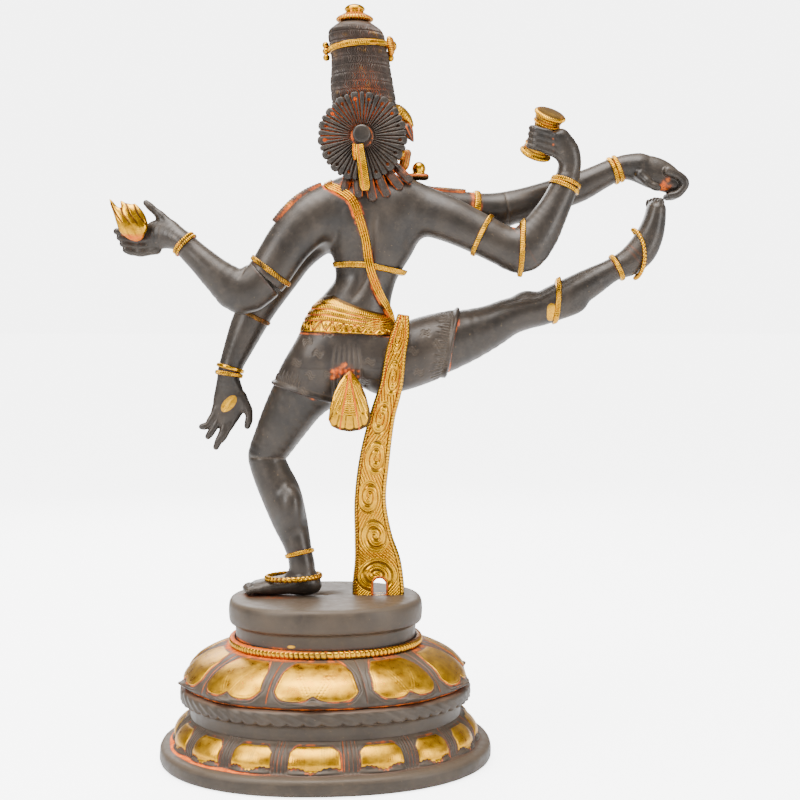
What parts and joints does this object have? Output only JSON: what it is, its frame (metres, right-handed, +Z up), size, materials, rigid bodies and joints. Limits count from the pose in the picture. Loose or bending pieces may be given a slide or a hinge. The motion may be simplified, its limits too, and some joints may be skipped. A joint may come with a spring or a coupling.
{
  "type": "dancing deity statue",
  "caption": "Cast brass statue of a four-armed dancing figure with one leg raised high, drum and flame in hand, on an oval double-lotus pedestal",
  "frame": {"origin": "centre of the overall box in X and Y, on the underside the statue stands on", "axes": "+Z up; the figure faces -Y; +X is the figure's left"},
  "size_m": [0.4258, 0.215, 0.5607],
  "materials": {
    "dark_brass": "cast brass with dark brown-black patina, lightly polished",
    "cloth_brass": "dark patinated brass with engraved wavy marks",
    "hair_brass": "dark patinated brass chased with fine hair lines, red-brown pigment in the lines",
    "pedestal_brass": "dark patinated brass with rubbed gold petal faces and orange pigment in the grooves",
    "gold_brass": "bright rubbed brass, chased, orange pigment in the recesses",
    "steel": "plain zinc-plated hardware"
  },
  "bodies": {
    "root": {"ankle_band_left": "gold_brass", "ankle_band_right": "gold_brass", "anklet_left": "gold_brass", "anklet_right": "gold_brass", "beaded_collar": "gold_brass", "crown_band": "gold_brass", "dhoti": "cloth_brass", "drum": "gold_brass", "finial": "gold_brass", "flame": "gold_brass", "foot_nut": "steel", "foot_washer": "steel", "hair_crown": "hair_brass", "head": "dark_brass", "hip_belt": "gold_brass", "knee_band": "gold_brass", "left_earring": "gold_brass", "left_front_arm": "dark_brass", "left_front_bangle_lower": "gold_brass", "left_front_bangle_upper": "gold_brass", "left_front_elbow_band": "gold_brass", "left_front_hand": "dark_brass", "left_rear_arm": "dark_brass", "left_rear_armlet": "gold_brass", "left_rear_bangle": "gold_brass", "left_rear_hand": "dark_brass", "left_shoulder_lock": "hair_brass", "necklace": "gold_brass", "pedestal_foot": "pedestal_brass", "plinth": "pedestal_brass", "raised_foot": "dark_brass", "raised_leg": "dark_brass", "rear_apron": "gold_brass", "rib_band": "gold_brass", "right_earring": "gold_brass", "right_front_arm": "dark_brass", "right_front_armlet": "gold_brass", "right_front_bangle_inner": "gold_brass", "right_front_bangle_outer": "gold_brass", "right_front_hand": "dark_brass", "right_rear_arm": "dark_brass", "right_rear_armlet": "gold_brass", "right_rear_bangle_lower": "gold_brass", "right_rear_bangle_upper": "gold_brass", "right_rear_elbow_band": "gold_brass", "right_rear_hand": "dark_brass", "right_shoulder_lock": "hair_brass", "sacred_thread": "gold_brass", "sash_nut": "steel", "sash_pillar": "gold_brass", "sash_washer": "steel", "shoulder_ornament": "gold_brass", "siraschakra": "dark_brass", "standing_foot": "dark_brass", "standing_leg": "dark_brass", "torso": "dark_brass", "upper_lotus": "pedestal_brass", "wheel_tassel": "gold_brass"}
  },
  "joints": []
}
